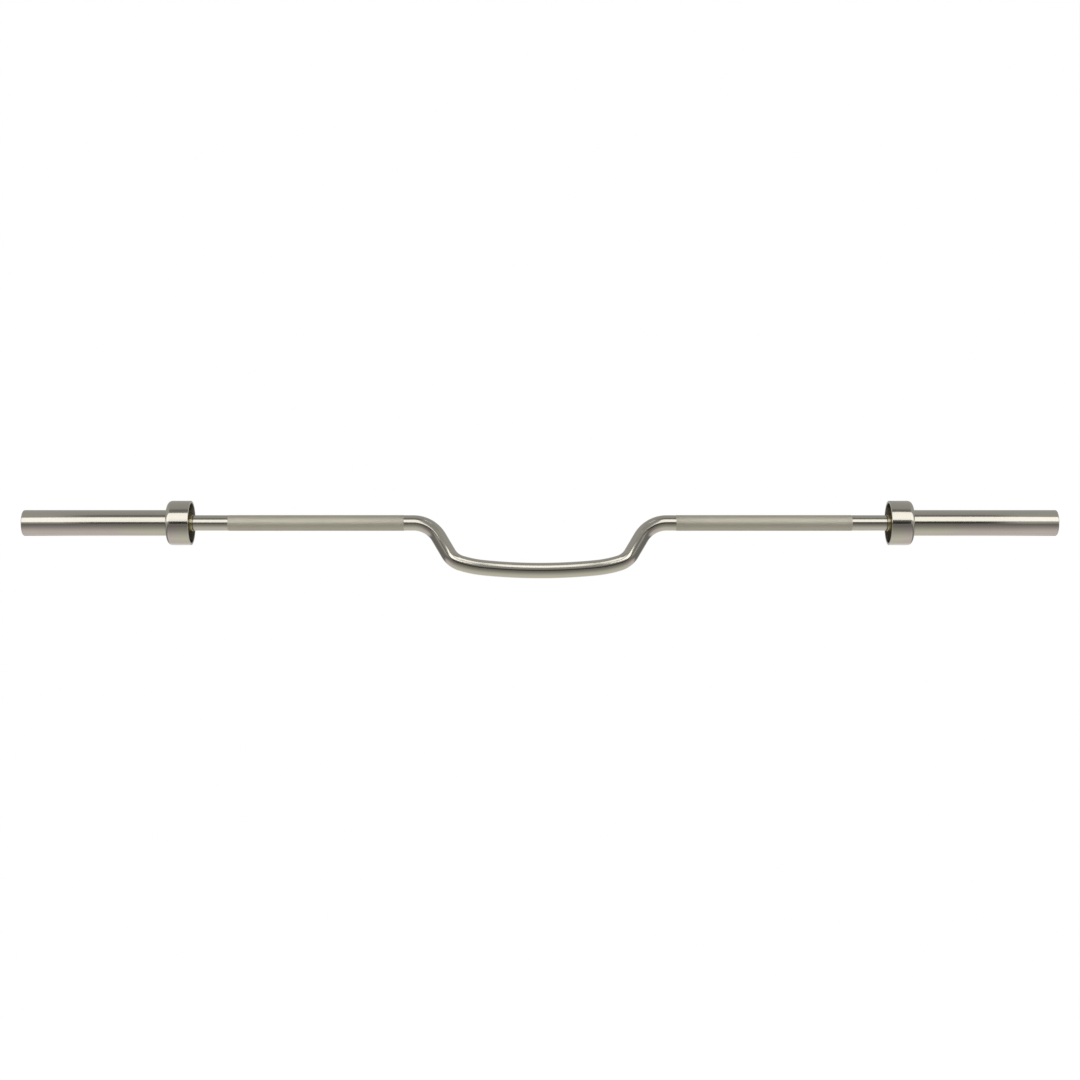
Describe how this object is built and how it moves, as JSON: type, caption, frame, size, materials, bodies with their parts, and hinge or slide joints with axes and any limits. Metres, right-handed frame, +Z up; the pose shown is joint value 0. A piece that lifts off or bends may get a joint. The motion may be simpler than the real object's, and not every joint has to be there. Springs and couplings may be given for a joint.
{
  "type": "curved seal row bar",
  "caption": "Straight barbell with a deep downward camber in the middle that clears a bench pad for prone rowing, knurled grips and free-turning sleeves for weight plates.",
  "frame": {"origin": "on the ground plane, straight under the middle of the camber, with the camber's underside at z = 0 and the sleeves' axis 108.7 mm above it", "axes": "+X along the bar towards the right sleeve as pictured, +Z up, away from the camber; the side that the picture shows faces -Y"},
  "size_m": [2, 0.086, 0.1517],
  "materials": {
    "shaft_steel": "satin nickel-plated steel, polished on the bends and matte on the knurled bands",
    "sleeve_steel": "satin nickel-plated steel, turned",
    "collar_steel": "satin nickel-plated steel, turned",
    "bushing_bronze": "plain bearing bronze, turned and polished where it shows",
    "washer_steel": "bright zinc-plated steel",
    "spring_steel": "dark phosphated spring steel",
    "end_cap_steel": "satin nickel-plated steel, turned face"
  },
  "bodies": {
    "shaft": {"shaft": "shaft_steel", "left_wave_washer": "spring_steel", "left_backing_washer": "washer_steel", "left_shaft_circlip": "spring_steel", "right_wave_washer": "spring_steel", "right_backing_washer": "washer_steel", "right_shaft_circlip": "spring_steel"},
    "left_sleeve": {"left_sleeve_tube": "sleeve_steel", "left_collar": "collar_steel", "left_inner_bushing": "bushing_bronze", "left_outer_bushing": "bushing_bronze", "left_thrust_washer": "washer_steel", "left_end_cap": "end_cap_steel", "left_cap_circlip": "spring_steel"},
    "right_sleeve": {"right_sleeve_tube": "sleeve_steel", "right_collar": "collar_steel", "right_inner_bushing": "bushing_bronze", "right_outer_bushing": "bushing_bronze", "right_thrust_washer": "washer_steel", "right_end_cap": "end_cap_steel", "right_cap_circlip": "spring_steel"}
  },
  "joints": [
    {"name": "left_sleeve_spin", "type": "hinge", "parent": "shaft", "child": "left_sleeve", "pos_m": [-0.8375, 0, 0.1087], "axis": [1, 0, 0], "continuous": true},
    {"name": "right_sleeve_spin", "type": "hinge", "parent": "shaft", "child": "right_sleeve", "pos_m": [0.8375, 0, 0.1087], "axis": [1, 0, 0], "continuous": true}
  ]
}
